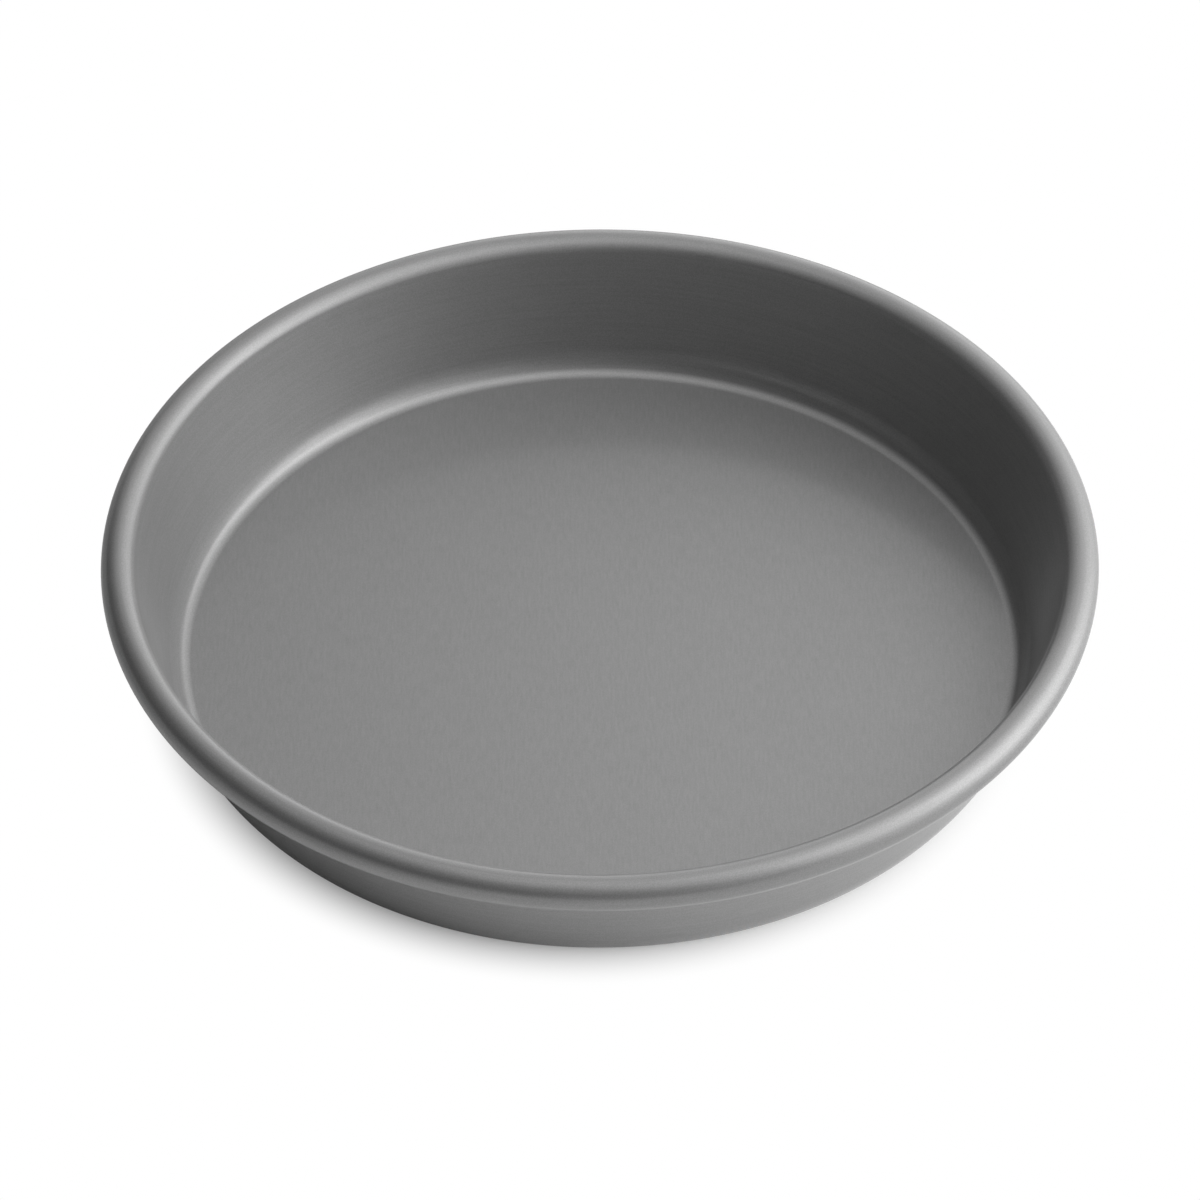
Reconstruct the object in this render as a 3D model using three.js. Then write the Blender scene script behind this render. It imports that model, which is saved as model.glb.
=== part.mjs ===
// Deep dish pizza pan: one round sheet spun into a tapered dish, its edge rolled outwards over a wire.
// Millimetres, +Z up. The origin is the centre of the underside, which the pan stands on.
import * as THREE from "three";

const { degToRad } = THREE.MathUtils;

// Driving dimensions
const mouthDiameter = 304.8; // clear inside the rolled rim, 12 in
const floorDiameter = 282.2; // where the inside lines of wall and floor would cross, about 11 in
const panHeight = 49.7; // from the underside to the top of the rim, about 2 in
const sheetThickness = 1.63; // 14 gauge
const cornerRadius = 5; // inside, where the floor turns up
const cornerSweep = degToRad(54); // how far the sheet turns there
const footRadius = 20; // inside, the easier bend of the wall's foot, which turns the rest of the way
const beadDiameter = 11.4; // outside of the rolled rim
const curlSweep = degToRad(306); // how far the sheet turns between the wall and its cut edge
const seatGap = 0.3; // between the wire and the curl around it
const wireButtGap = 1; // between the two cut ends of the wire

// Facets
const turnSteps = 96; // round the pan
const cornerSteps = 4; // round each face of the corner
const footSteps = 2; // round each face of the wall's foot
const beadSteps = 22; // round the outside of the curl
const hollowSteps = 16; // round the inside of the curl
const wireHalfSides = 5; // half the sides of the wire's section

// The rim: a bead whose inner side stands at the mouth and whose top is the top of the pan.
const beadRadius = beadDiameter / 2;
const hollowRadius = beadRadius - sheetThickness;
const beadCentre = new THREE.Vector2(mouthDiameter / 2 + beadRadius, panHeight - beadRadius);

// The wall: its inside line runs from the crossing with the floor to a tangent of the bead.
const wallFoot = new THREE.Vector2(floorDiameter / 2, sheetThickness);
const footToBead = beadCentre.clone().sub(wallFoot);
const wallTaper = Math.acos(beadRadius / footToBead.length()) - footToBead.angle();

// The corner: two arcs, which meet each other, the floor and the wall without a step. Their reach is from the
// end of the flat floor to the crossing of floor and wall.
const wallSlope = Math.PI / 2 - wallTaper;
const cornerWidth = cornerRadius * Math.sin(cornerSweep);
const cornerRise = cornerRadius * (1 - Math.cos(cornerSweep));
const footWidth = footRadius * (Math.sin(wallSlope) - Math.sin(cornerSweep));
const footRise = footRadius * (Math.cos(cornerSweep) - Math.cos(wallSlope));
const cornerReach = cornerWidth + footWidth - (cornerRise + footRise) / Math.tan(wallSlope);
const cornerCentre = new THREE.Vector2(wallFoot.x - cornerReach, sheetThickness + cornerRadius);
const towardsFoot = new THREE.Vector2(Math.sin(cornerSweep), -Math.cos(cornerSweep));
const footCentre = cornerCentre.clone().addScaledVector(towardsFoot, cornerRadius - footRadius);

function arc(centre, radius, from, to, steps) {
  const clockwise = to < from;
  const curve = new THREE.EllipseCurve(centre.x, centre.y, radius, radius, from, to, clockwise);
  return curve.getPoints(steps);
}

// Corner and foot from the floor to the wall, on the face of the sheet that lies this far outside its inside.
function cornerArcs(outside) {
  const floorTangent = -Math.PI / 2;
  const bendsMeet = floorTangent + cornerSweep;
  const corner = arc(cornerCentre, cornerRadius + outside, floorTangent, bendsMeet, cornerSteps);
  const foot = arc(footCentre, footRadius + outside, bendsMeet, -wallTaper, footSteps);
  return [...corner, ...foot.slice(1)];
}

// Half the section of the sheet, drawn as radius and height: along the outside of the pan from the axis,
// inside the curl to the cut edge, and back over the rim and down the inside to the axis.
function sheetSection() {
  const curlStart = Math.PI - wallTaper;
  const curlEnd = curlStart - curlSweep;
  return [
    new THREE.Vector2(0, 0),
    ...cornerArcs(sheetThickness),
    ...arc(beadCentre, hollowRadius, curlStart, curlEnd, hollowSteps),
    ...arc(beadCentre, beadRadius, curlEnd, curlStart, beadSteps),
    ...cornerArcs(0).reverse(),
    new THREE.Vector2(0, sheetThickness),
  ];
}

function panBody() {
  const geometry = new THREE.LatheGeometry(sheetSection(), turnSteps);
  geometry.rotateX(Math.PI / 2); // from three.js's upright Y axis to Z
  const satinAluminium = new THREE.MeshStandardMaterial({
    color: 0x959595,
    roughness: 0.5,
    metalness: 1,
  });
  const mesh = new THREE.Mesh(geometry, satinAluminium);
  mesh.name = "pan_body";
  return mesh;
}

// The middle line of the wire: a ring inside the curl, open at one place where its ends butt.
class WireRing extends THREE.Curve {
  getPoint(share, target = new THREE.Vector3()) {
    const gapAngle = wireButtGap / beadCentre.x;
    const angle = gapAngle / 2 + share * (2 * Math.PI - gapAngle);
    return target.set(beadCentre.x * Math.cos(angle), beadCentre.x * Math.sin(angle), beadCentre.y);
  }
}

function rimWire() {
  const section = new THREE.Shape();
  section.absarc(0, 0, hollowRadius - seatGap, 0, 2 * Math.PI);
  const geometry = new THREE.ExtrudeGeometry(section, {
    extrudePath: new WireRing(),
    steps: turnSteps,
    curveSegments: wireHalfSides,
  });
  const plainAluminium = new THREE.MeshStandardMaterial({
    color: 0xb4b4b4,
    roughness: 0.45,
    metalness: 1,
  });
  const mesh = new THREE.Mesh(geometry, plainAluminium);
  mesh.name = "rim_wire";
  return mesh;
}

const pan = new THREE.Group();
pan.name = "deep_dish_pan";
pan.add(panBody(), rimWire());

export default pan;
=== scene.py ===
# A deep dish pizza pan: one round sheet of satin grey aluminium, spun into a tapered dish, with its
# edge rolled outwards over a wire. Metres, +Z up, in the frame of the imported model.
import math

import bmesh
import bpy
from mathutils import Matrix, Vector


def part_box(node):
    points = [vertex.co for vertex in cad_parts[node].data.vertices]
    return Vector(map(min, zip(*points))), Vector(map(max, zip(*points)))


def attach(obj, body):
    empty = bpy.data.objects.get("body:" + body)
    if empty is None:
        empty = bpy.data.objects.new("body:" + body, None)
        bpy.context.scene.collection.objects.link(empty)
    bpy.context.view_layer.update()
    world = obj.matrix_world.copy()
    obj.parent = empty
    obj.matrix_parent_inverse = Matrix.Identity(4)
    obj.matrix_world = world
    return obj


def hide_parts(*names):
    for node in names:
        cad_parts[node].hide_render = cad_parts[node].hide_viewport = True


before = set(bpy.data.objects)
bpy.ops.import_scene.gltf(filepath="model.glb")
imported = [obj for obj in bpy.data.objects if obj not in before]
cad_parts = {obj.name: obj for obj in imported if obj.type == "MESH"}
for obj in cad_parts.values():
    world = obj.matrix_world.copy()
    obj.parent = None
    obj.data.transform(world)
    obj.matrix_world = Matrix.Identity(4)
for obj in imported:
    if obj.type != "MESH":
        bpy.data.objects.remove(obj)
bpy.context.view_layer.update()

# The pan: a disc of 14 gauge aluminium, pressed and spun over a former, so that floor, corner and wall
# are one skin. The edge is then curled outwards into a round bead whose cut edge hides against the wall.
sheet_thickness = 0.00163
corner_radius = 0.005        # inside, where the floor turns up
corner_sweep = math.radians(54)
foot_radius = 0.020          # inside, the easier bend that runs on into the wall
wall_foot_radius = 0.1411    # where the inside lines of wall and floor would cross
bead_radius = 0.0057         # outside of the rolled rim
curl_sweep = math.radians(306)
cut_edge_round = 0.0003
cut_edge_angle = math.radians(60)    # only the cut edge turns by more than this
turn_steps = 256
merge_distance = 1e-6

pan_low, pan_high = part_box("pan_body")
hollow_radius = bead_radius - sheet_thickness
bead_centre = Vector((pan_high.x - bead_radius, 0, pan_high.z - bead_radius))
wall_foot = Vector((wall_foot_radius, 0, sheet_thickness))
foot_to_bead = bead_centre - wall_foot
taper = math.acos(bead_radius / foot_to_bead.length) - math.atan2(foot_to_bead.z, foot_to_bead.x)
wall_slope = math.pi / 2 - taper
foot_sweep = wall_slope - corner_sweep
bends_width = (corner_radius * math.sin(corner_sweep)
               + foot_radius * (math.sin(wall_slope) - math.sin(corner_sweep)))
bends_height = (corner_radius * (1 - math.cos(corner_sweep))
                + foot_radius * (math.cos(corner_sweep) - math.cos(wall_slope)))
corner_reach = bends_width - bends_height / math.tan(wall_slope)
corner_centre = wall_foot + Vector((-corner_reach, 0, corner_radius))
bends_meet = Vector((math.sin(corner_sweep), 0, -math.cos(corner_sweep)))   # seen from both centres
foot_centre = corner_centre + bends_meet * (corner_radius - foot_radius)
inward = Vector((-math.cos(taper), 0, math.sin(taper)))   # square to the wall, into the pan

pan_mesh = bmesh.new()
tip = pan_mesh.verts.new((0, 0, 0))


def run_straight(tip, end, steps):
    """Draws the section on from its tip in a straight line to a point."""
    step = (end - tip.co) / steps
    for _ in range(steps):
        tip = bmesh.ops.extrude_vert_indiv(pan_mesh, verts=[tip])["verts"][0]
        bmesh.ops.translate(pan_mesh, verts=[tip], vec=step)
    return tip


def run_round(tip, centre, angle, steps):
    """Draws the section on from its tip in an arc; a positive angle turns outwards and down."""
    made = bmesh.ops.spin(pan_mesh, geom=[tip], cent=centre, axis=(0, 1, 0), angle=angle, steps=steps)
    return next(v for v in made["geom_last"] if isinstance(v, bmesh.types.BMVert))


# The section runs out along the underside, up the outer wall, round inside the curl to the cut edge, and
# back over the bead, down the inner wall and across the floor to the axis.
tip = run_straight(tip, Vector((corner_centre.x, 0, 0)), steps=8)
tip = run_round(tip, corner_centre, -corner_sweep, steps=14)
tip = run_round(tip, foot_centre, -foot_sweep, steps=8)
tip = run_straight(tip, bead_centre + inward * hollow_radius, steps=10)
tip = run_round(tip, bead_centre, curl_sweep, steps=44)
tip = run_straight(tip, bead_centre + (tip.co - bead_centre).normalized() * bead_radius, steps=2)
tip = run_round(tip, bead_centre, -curl_sweep, steps=96)
tip = run_straight(tip, foot_centre - inward * foot_radius, steps=14)
tip = run_round(tip, foot_centre, foot_sweep, steps=14)
tip = run_round(tip, corner_centre, corner_sweep, steps=20)
tip = run_straight(tip, Vector((0, 0, sheet_thickness)), steps=12)

bmesh.ops.spin(pan_mesh, geom=pan_mesh.verts[:] + pan_mesh.edges[:], cent=(0, 0, 0), axis=(0, 0, 1),
               angle=math.tau, steps=turn_steps, use_merge=True)
bmesh.ops.remove_doubles(pan_mesh, verts=pan_mesh.verts[:], dist=merge_distance)
bmesh.ops.recalc_face_normals(pan_mesh, faces=pan_mesh.faces[:])
cut_edges = [e for e in pan_mesh.edges if e.calc_face_angle(0) > cut_edge_angle]
bmesh.ops.bevel(pan_mesh, geom=cut_edges, offset=cut_edge_round, affect="EDGES", segments=3,
                profile=0.5, material=-1)
for face in pan_mesh.faces:
    face.smooth = True


def place_mesh(name, mesh):
    """Puts a finished bmesh into the scene as an object."""
    piece = bpy.data.objects.new(name, bpy.data.meshes.new(name))
    mesh.to_mesh(piece.data)
    mesh.free()
    bpy.context.scene.collection.objects.link(piece)
    return piece


def start_material(piece, name):
    """Gives a piece a new material and returns that material's node tree."""
    material = bpy.data.materials.new(name)
    material.use_nodes = True
    piece.data.materials.append(material)
    return material.node_tree


def add_node(tree, kind, options={}, inputs={}):
    """Adds a node with its options and inputs; an input is a value or another node's output."""
    node = tree.nodes.new(kind)
    for name, value in options.items():
        setattr(node, name, value)
    for name, value in inputs.items():
        if isinstance(value, bpy.types.NodeSocket):
            tree.links.new(value, node.inputs[name])
        else:
            node.inputs[name].default_value = value
    return node


# Fine lines round the axis, as spinning leaves them on the sheet and drawing on the wire.
line_pitch = 0.0009
line_reach = 5.0             # how fast the lines change round the pan
turned_lines = bpy.data.node_groups.new("turned_lines", "ShaderNodeTree")
turned_lines.interface.new_socket("Position", in_out="INPUT", socket_type="NodeSocketVector")
turned_lines.interface.new_socket("Lines", in_out="OUTPUT", socket_type="NodeSocketFloat")
turned_lines.interface.new_socket("Radius", in_out="OUTPUT", socket_type="NodeSocketFloat")
turned_place = turned_lines.nodes.new("NodeGroupInput").outputs["Position"]
turned_level = add_node(turned_lines, "ShaderNodeVectorMath", {"operation": "MULTIPLY"},
                        {0: turned_place, 1: (1, 1, 0)}).outputs["Vector"]
turned_radius = add_node(turned_lines, "ShaderNodeVectorMath", {"operation": "LENGTH"},
                         {0: turned_level}).outputs["Value"]
turned_heading = add_node(turned_lines, "ShaderNodeVectorMath", {"operation": "NORMALIZE"}, {0: turned_level})
turned_round = add_node(turned_lines, "ShaderNodeSeparateXYZ", {}, {0: turned_heading.outputs["Vector"]})
turned_height = add_node(turned_lines, "ShaderNodeSeparateXYZ", {}, {0: turned_place}).outputs["Z"]
turned_along = add_node(turned_lines, "ShaderNodeCombineXYZ", {}, {
    "X": add_node(turned_lines, "ShaderNodeMath", {"operation": "DIVIDE"},
                  {0: turned_radius, 1: line_pitch}).outputs["Value"],
    "Y": add_node(turned_lines, "ShaderNodeMath", {"operation": "DIVIDE"},
                  {0: turned_height, 1: line_pitch}).outputs["Value"],
    "Z": add_node(turned_lines, "ShaderNodeMath", {"operation": "MULTIPLY"},
                  {0: turned_round.outputs["X"], 1: line_reach}).outputs["Value"]})
turned_across = add_node(turned_lines, "ShaderNodeMath", {"operation": "MULTIPLY"},
                         {0: turned_round.outputs["Y"], 1: line_reach})
turned_noise = add_node(turned_lines, "ShaderNodeTexNoise", {"noise_dimensions": "4D"}, {
    "Vector": turned_along.outputs["Vector"], "W": turned_across.outputs["Value"],
    "Scale": 1, "Detail": 3, "Roughness": 0.6})
add_node(turned_lines, "NodeGroupOutput", {},
         {"Lines": turned_noise.outputs["Fac"], "Radius": turned_radius})

# The finish of the sheet: a satin grey. The floor keeps the straight grain of the rolled sheet, the spun
# corner and wall have lines round the axis, and all of it has a fine tooth, a mottle and wide clouds.
grain_to_metre = (1250, 160, 0)          # grains of the rolled sheet, across and along the rolling
tooth_to_metre = 2600
mottle_to_metre = 150
clouds_to_metre = 22
spun_start, spun_full = 0.1345, 0.1380   # from the axis, where the turned lines take over from the grain
rim_start, rim_full = 0.1515, 0.1535     # from the axis, where the wall runs out into the rim
floor_tooth, wall_tooth = 1.2, 2.0       # depth of the tooth, against the grain's
mottle_share = 0.2
darkest_grey, lightest_grey = 0.261, 0.319
least_rough, most_rough = 0.515, 0.545
rim_roughening = 0.06

pan_sheet = place_mesh("pan_sheet", pan_mesh)
satin = start_material(pan_sheet, "satin_grey_aluminium")
satin_shader = satin.nodes["Principled BSDF"]
satin_shader.inputs["Metallic"].default_value = 0.9
satin_shader.inputs["Coat Weight"].default_value = 0.72
satin_shader.inputs["Coat Roughness"].default_value = 0.15
satin_place = add_node(satin, "ShaderNodeTexCoord").outputs["Object"]
satin_lines = add_node(satin, "ShaderNodeGroup", {"node_tree": turned_lines}, {"Position": satin_place})
satin_rolled_place = add_node(satin, "ShaderNodeVectorMath", {"operation": "MULTIPLY"},
                              {0: satin_place, 1: grain_to_metre})
satin_rolled = add_node(satin, "ShaderNodeTexNoise", {}, {
    "Vector": satin_rolled_place.outputs["Vector"], "Scale": 1, "Detail": 3, "Roughness": 0.6})
satin_spun_share = add_node(satin, "ShaderNodeMapRange", {"interpolation_type": "SMOOTHSTEP"}, {
    "Value": satin_lines.outputs["Radius"], "From Min": spun_start, "From Max": spun_full})
satin_grain = add_node(satin, "ShaderNodeMix", {"data_type": "FLOAT"}, {
    0: satin_spun_share.outputs["Result"], 2: satin_rolled.outputs["Fac"],
    3: satin_lines.outputs["Lines"]}).outputs[0]
satin_tooth = add_node(satin, "ShaderNodeTexNoise", {}, {
    "Vector": satin_place, "Scale": tooth_to_metre, "Detail": 1, "Roughness": 0.5}).outputs["Fac"]
satin_mottle = add_node(satin, "ShaderNodeTexNoise", {}, {
    "Vector": satin_place, "Scale": mottle_to_metre, "Detail": 2, "Roughness": 0.5}).outputs["Fac"]
satin_cloud = add_node(satin, "ShaderNodeTexNoise", {}, {
    "Vector": satin_place, "Scale": clouds_to_metre, "Detail": 2, "Roughness": 0.5}).outputs["Fac"]
# Spinning and rolling leave a coarser tooth on the wall and the rim than the floor has.
satin_tooth_depth = add_node(satin, "ShaderNodeMapRange", {}, {
    "Value": satin_spun_share.outputs["Result"], "To Min": floor_tooth, "To Max": wall_tooth})
satin_tooth_level = add_node(satin, "ShaderNodeMath", {"operation": "SUBTRACT"}, {0: satin_tooth, 1: 0.5})
satin_fine = add_node(satin, "ShaderNodeMath", {"operation": "MULTIPLY_ADD"}, {
    0: satin_tooth_level.outputs["Value"], 1: satin_tooth_depth.outputs["Result"],
    2: satin_grain}).outputs["Value"]
satin_shade = add_node(satin, "ShaderNodeMath", {"operation": "MULTIPLY_ADD"},
                       {0: satin_mottle, 1: mottle_share, 2: satin_fine}).outputs["Value"]
satin_grey_level = add_node(satin, "ShaderNodeMapRange", {}, {
    "Value": satin_shade, "From Min": 0.2, "From Max": 1.0, "To Min": darkest_grey, "To Max": lightest_grey})
satin.links.new(satin_grey_level.outputs["Result"], satin_shader.inputs["Base Color"])
# The rim is also a little rougher than the wall.
satin_sheet_roughness = add_node(satin, "ShaderNodeMapRange", {}, {
    "Value": satin_cloud, "From Min": 0.3, "From Max": 0.7, "To Min": least_rough, "To Max": most_rough})
satin_rim_share = add_node(satin, "ShaderNodeMapRange", {"interpolation_type": "SMOOTHSTEP"}, {
    "Value": satin_lines.outputs["Radius"], "From Min": rim_start, "From Max": rim_full})
satin_roughness = add_node(satin, "ShaderNodeMath", {"operation": "MULTIPLY_ADD"}, {
    0: satin_rim_share.outputs["Result"], 1: rim_roughening, 2: satin_sheet_roughness.outputs["Result"]})
satin.links.new(satin_roughness.outputs["Value"], satin_shader.inputs["Roughness"])
satin_bump = add_node(satin, "ShaderNodeBump", {}, {
    "Strength": 0.16, "Distance": 0.00001, "Height": satin_fine})
satin.links.new(satin_bump.outputs["Normal"], satin_shader.inputs["Normal"])

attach(pan_sheet, "root")
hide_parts("pan_body")

# The rim wire: a ring of drawn aluminium wire inside the curl, which stiffens the rim. It is bent to a
# ring with its two cut ends butted, and the curl grips it, so nothing else fastens it.
wire_low, wire_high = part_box("rim_wire")
wire_radius = (wire_high.z - wire_low.z) / 2
wire_centre = Vector((wire_high.x - wire_radius, 0, (wire_high.z + wire_low.z) / 2))
wire_sides = 24
wire_steps = 192
butt_gap = 0.001
butt_angle = butt_gap / wire_centre.x

wire_mesh = bmesh.new()
end_face = bmesh.ops.create_circle(wire_mesh, cap_ends=True, radius=wire_radius, segments=wire_sides)["verts"]
bmesh.ops.rotate(wire_mesh, verts=end_face, cent=(0, 0, 0), matrix=Matrix.Rotation(math.pi / 2, 3, "X"))
bmesh.ops.translate(wire_mesh, verts=end_face, vec=wire_centre)
bmesh.ops.rotate(wire_mesh, verts=end_face, cent=(0, 0, 0), matrix=Matrix.Rotation(butt_angle / 2, 3, "Z"))
wire_geometry = wire_mesh.verts[:] + wire_mesh.edges[:] + wire_mesh.faces[:]
bmesh.ops.spin(wire_mesh, geom=wire_geometry, cent=(0, 0, 0), axis=(0, 0, 1),
               angle=math.tau - butt_angle, steps=wire_steps)
bmesh.ops.recalc_face_normals(wire_mesh, faces=wire_mesh.faces[:])
for face in wire_mesh.faces:
    face.smooth = len(face.verts) == 4   # the cut ends stay flat

wire_ring = place_mesh("wire_ring", wire_mesh)
drawn = start_material(wire_ring, "drawn_aluminium_wire")
drawn_shader = drawn.nodes["Principled BSDF"]
drawn_shader.inputs["Metallic"].default_value = 1
drawn_place = add_node(drawn, "ShaderNodeTexCoord").outputs["Object"]
drawn_lines = add_node(drawn, "ShaderNodeGroup", {"node_tree": turned_lines},
                       {"Position": drawn_place}).outputs["Lines"]
drawn_grey_level = add_node(drawn, "ShaderNodeMapRange", {}, {
    "Value": drawn_lines, "From Min": 0.25, "From Max": 0.75, "To Min": 0.41, "To Max": 0.51})
drawn.links.new(drawn_grey_level.outputs["Result"], drawn_shader.inputs["Base Color"])
drawn_roughness = add_node(drawn, "ShaderNodeMapRange", {}, {
    "Value": drawn_lines, "From Min": 0.25, "From Max": 0.75, "To Min": 0.5, "To Max": 0.4})
drawn.links.new(drawn_roughness.outputs["Result"], drawn_shader.inputs["Roughness"])
drawn_bump = add_node(drawn, "ShaderNodeBump", {}, {
    "Strength": 0.4, "Distance": 0.00002, "Height": drawn_lines})
drawn.links.new(drawn_bump.outputs["Normal"], drawn_shader.inputs["Normal"])

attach(wire_ring, "root")
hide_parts("rim_wire")

# The floor: a wide sheet of white paper under the pan. It keeps the pan's shadow close to the base, and
# beyond that it is plain white to the eye. In the metal it shows a painted reflection: it glows white on the
# side that the light comes from and falls off to a painted grey behind the pan on the left.
floor_radius = 6
floor_sides = 64
shadow_middle = (-0.004, -0.0055, 0)
shadow_start = 0.123         # from the middle of the shadow, where the paper starts to turn white
shadow_end = 0.151
mirror_middle = (-0.028, 0.002, 0)
mirror_start = 0.131         # the same for the paper that the metal mirrors
mirror_end = 0.177
# Painted reflection: along the side that the light comes from, the paper's glow in the metal runs from a
# painted grey to white, as though the paper far from the light got less light.
lit_side = math.radians(-35)     # the side that the light comes from, from the right towards the front
dim_from_middle = -0.25          # along it, where the paper in the metal is dimmest, and where it is white
white_from_middle = 0.2
dimmest = 0.4
floor_mesh = bmesh.new()
bmesh.ops.create_circle(floor_mesh, cap_ends=True, radius=floor_radius, segments=floor_sides)
floor = place_mesh("floor", floor_mesh)

paper = start_material(floor, "white_paper")
paper_shader = paper.nodes["Principled BSDF"]
paper_shader.inputs["Base Color"].default_value = (0.9, 0.9, 0.9, 1)
paper_shader.inputs["Roughness"].default_value = 1
paper_shader.inputs["Specular IOR Level"].default_value = 0
paper_place = add_node(paper, "ShaderNodeTexCoord").outputs["Object"]
paper_offset = add_node(paper, "ShaderNodeVectorMath", {"operation": "DISTANCE"},
                        {0: paper_place, 1: shadow_middle})
paper_seen_white = add_node(paper, "ShaderNodeMapRange", {"interpolation_type": "SMOOTHSTEP"}, {
    "Value": paper_offset.outputs["Value"], "From Min": shadow_start, "From Max": shadow_end})
paper_mirror_offset = add_node(paper, "ShaderNodeVectorMath", {"operation": "DISTANCE"},
                               {0: paper_place, 1: mirror_middle})
paper_mirrored_white = add_node(paper, "ShaderNodeMapRange", {"interpolation_type": "SMOOTHSTEP"}, {
    "Value": paper_mirror_offset.outputs["Value"], "From Min": mirror_start, "From Max": mirror_end})
paper_path = add_node(paper, "ShaderNodeLightPath").outputs
paper_bounced = add_node(paper, "ShaderNodeMath", {"operation": "MAXIMUM"},
                         {0: paper_path["Is Glossy Ray"], 1: paper_path["Is Transmission Ray"]})
paper_to_eye = add_node(paper, "ShaderNodeMath", {"operation": "MULTIPLY"},
                        {0: paper_path["Is Camera Ray"], 1: paper_seen_white.outputs["Result"]})
paper_white_share = add_node(paper, "ShaderNodeMath", {"operation": "MULTIPLY_ADD"}, {
    0: paper_bounced.outputs["Value"], 1: paper_mirrored_white.outputs["Result"],
    2: paper_to_eye.outputs["Value"]})
# The painted reflection: for glossy rays the paper glows brighter towards the lit side and darker away from
# it, while the camera still sees plain white.
paper_along = add_node(paper, "ShaderNodeVectorMath", {"operation": "DOT_PRODUCT"},
                       {0: paper_place, 1: (math.cos(lit_side), math.sin(lit_side), 0)})
paper_painted_reflection = add_node(paper, "ShaderNodeMapRange", {}, {
    "Value": paper_along.outputs["Value"], "From Min": dim_from_middle, "From Max": white_from_middle,
    "To Min": dimmest})
paper_white_level = add_node(paper, "ShaderNodeMath", {"operation": "MAXIMUM"},
                             {0: paper_path["Is Camera Ray"], 1: paper_painted_reflection.outputs["Result"]})
paper_white = add_node(paper, "ShaderNodeEmission", {}, {
    "Color": paper_white_level.outputs["Value"], "Strength": 1})
paper_mix = add_node(paper, "ShaderNodeMixShader", {}, {
    0: paper_white_share.outputs["Value"], 1: paper_shader.outputs["BSDF"],
    2: paper_white.outputs["Emission"]})
paper.links.new(paper_mix.outputs["Shader"], paper.nodes["Material Output"].inputs["Surface"])

# The tent: a dome of white cloth over the pan, which turns the lamps on the right, behind, overhead and in
# front into soft glows; its hem is lit all round. The camera sees through it to plain white.
tent_radius = 1.15
tent_rise_steps = 16
tent_turn_steps = 64
hem_top = 0.21               # as a share of the tent's height
hem_strength = 0.6
tent_mesh = bmesh.new()
tent_edge = tent_mesh.verts.new((tent_radius, 0, 0))
bmesh.ops.spin(tent_mesh, geom=[tent_edge], cent=(0, 0, 0), axis=(0, 1, 0), angle=-math.pi / 2,
               steps=tent_rise_steps)
bmesh.ops.spin(tent_mesh, geom=tent_mesh.verts[:] + tent_mesh.edges[:], cent=(0, 0, 0), axis=(0, 0, 1),
               angle=math.tau, steps=tent_turn_steps, use_merge=True)
bmesh.ops.remove_doubles(tent_mesh, verts=tent_mesh.verts[:], dist=merge_distance)
for face in tent_mesh.faces:
    face.smooth = True
tent = place_mesh("tent", tent_mesh)
tent.visible_camera = False

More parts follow.
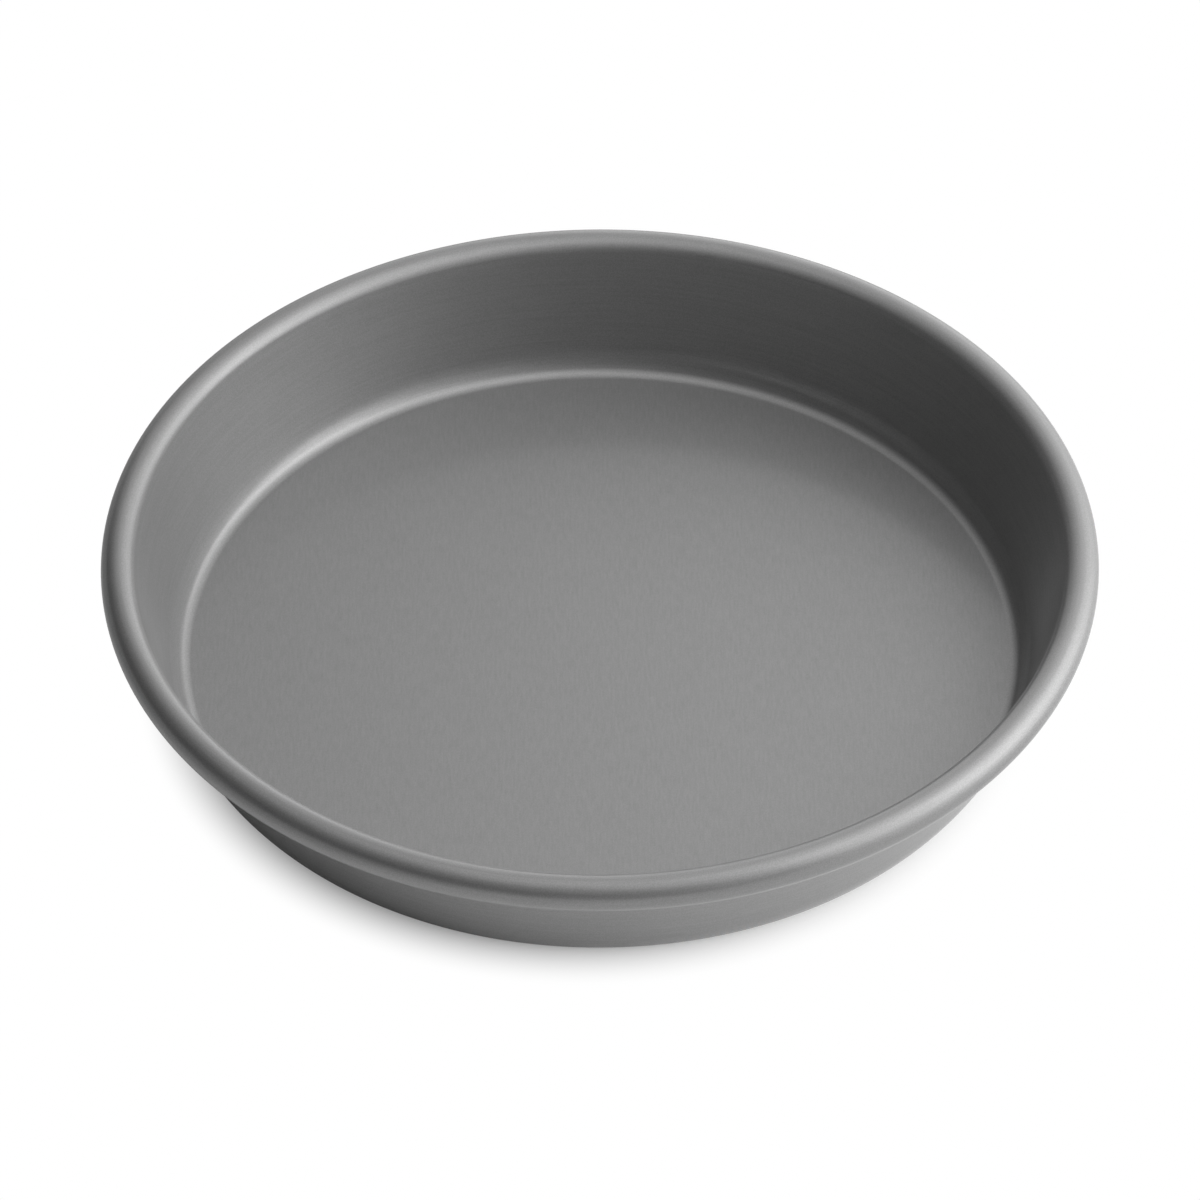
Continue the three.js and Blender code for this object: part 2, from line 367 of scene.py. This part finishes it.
cloth = start_material(tent, "lit_cloth")
cloth.nodes.remove(cloth.nodes["Principled BSDF"])
cloth_place = add_node(cloth, "ShaderNodeTexCoord").outputs["Object"]
cloth_heading = add_node(cloth, "ShaderNodeVectorMath", {"operation": "NORMALIZE"}, {0: cloth_place})
cloth_height = add_node(cloth, "ShaderNodeSeparateXYZ", {}, {0: cloth_heading.outputs["Vector"]})
cloth_hem = add_node(cloth, "ShaderNodeMapRange", {}, {
    "Value": cloth_height.outputs["Z"], "From Min": 0, "From Max": hem_top,
    "To Min": hem_strength, "To Max": 0})
cloth_level = cloth_hem.outputs["Result"]
for azimuth, elevation, narrowness, strength in (
        (1, 30, 6.0, 4.1),       # right
        (77, 16, 6.0, 1.62),     # behind
        (0, 90, 6.0, 1.22),      # overhead
        (303, 50, 7.0, 0.3)):    # in front
    azimuth = math.radians(azimuth)
    elevation = math.radians(elevation)
    lamp_heading = (math.cos(elevation) * math.cos(azimuth), math.cos(elevation) * math.sin(azimuth),
                    math.sin(elevation))
    facing = add_node(cloth, "ShaderNodeVectorMath", {"operation": "DOT_PRODUCT"},
                      {0: cloth_heading.outputs["Vector"], 1: lamp_heading})
    front = add_node(cloth, "ShaderNodeMath", {"operation": "MAXIMUM"}, {0: facing.outputs["Value"], 1: 0})
    spread = add_node(cloth, "ShaderNodeMath", {"operation": "POWER"},
                      {0: front.outputs["Value"], 1: narrowness})
    cloth_level = add_node(cloth, "ShaderNodeMath", {"operation": "MULTIPLY_ADD"},
                           {0: spread.outputs["Value"], 1: strength, 2: cloth_level}).outputs["Value"]
cloth_glow = add_node(cloth, "ShaderNodeEmission", {}, {"Color": (1, 1, 1, 1), "Strength": cloth_level})
cloth.links.new(cloth_glow.outputs["Emission"], cloth.nodes["Material Output"].inputs["Surface"])

# The room: plain white beyond the edge of the paper, where a low camera sees past it. No light from it
# comes through the tent.
studio = bpy.data.worlds.new("studio")
bpy.context.scene.world = studio
studio.use_nodes = True
studio.node_tree.nodes["Background"].inputs["Color"].default_value = (1, 1, 1, 1)
studio.node_tree.nodes["Background"].inputs["Strength"].default_value = 1
bpy.context.scene.view_settings.view_transform = "Standard"

# The camera: a long lens two metres off, looking down at the pan over its near rim.
sensor_width = 36.0
image_width = 1200           # pixels
focal_length = 6112          # in pixels of the photograph
camera_distance = 2.0095     # from the middle of the bead's plane
camera_elevation = math.radians(42.108)
camera_pitch = math.radians(42.571)
camera_roll = math.radians(-0.234)

lens = bpy.data.cameras.new("camera")
lens.sensor_width = sensor_width
lens.lens = focal_length * sensor_width / image_width
lens.clip_start = 0.1
lens.clip_end = 100
camera = bpy.data.objects.new("camera", lens)
bpy.context.scene.collection.objects.link(camera)
camera_place = Vector((0, -camera_distance * math.cos(camera_elevation),
                       bead_centre.z + camera_distance * math.sin(camera_elevation)))
camera.matrix_world = (Matrix.Translation(camera_place)
                       @ Matrix.Rotation(math.pi / 2 - camera_pitch, 4, "X")
                       @ Matrix.Rotation(camera_roll, 4, "Z"))
bpy.context.scene.camera = camera
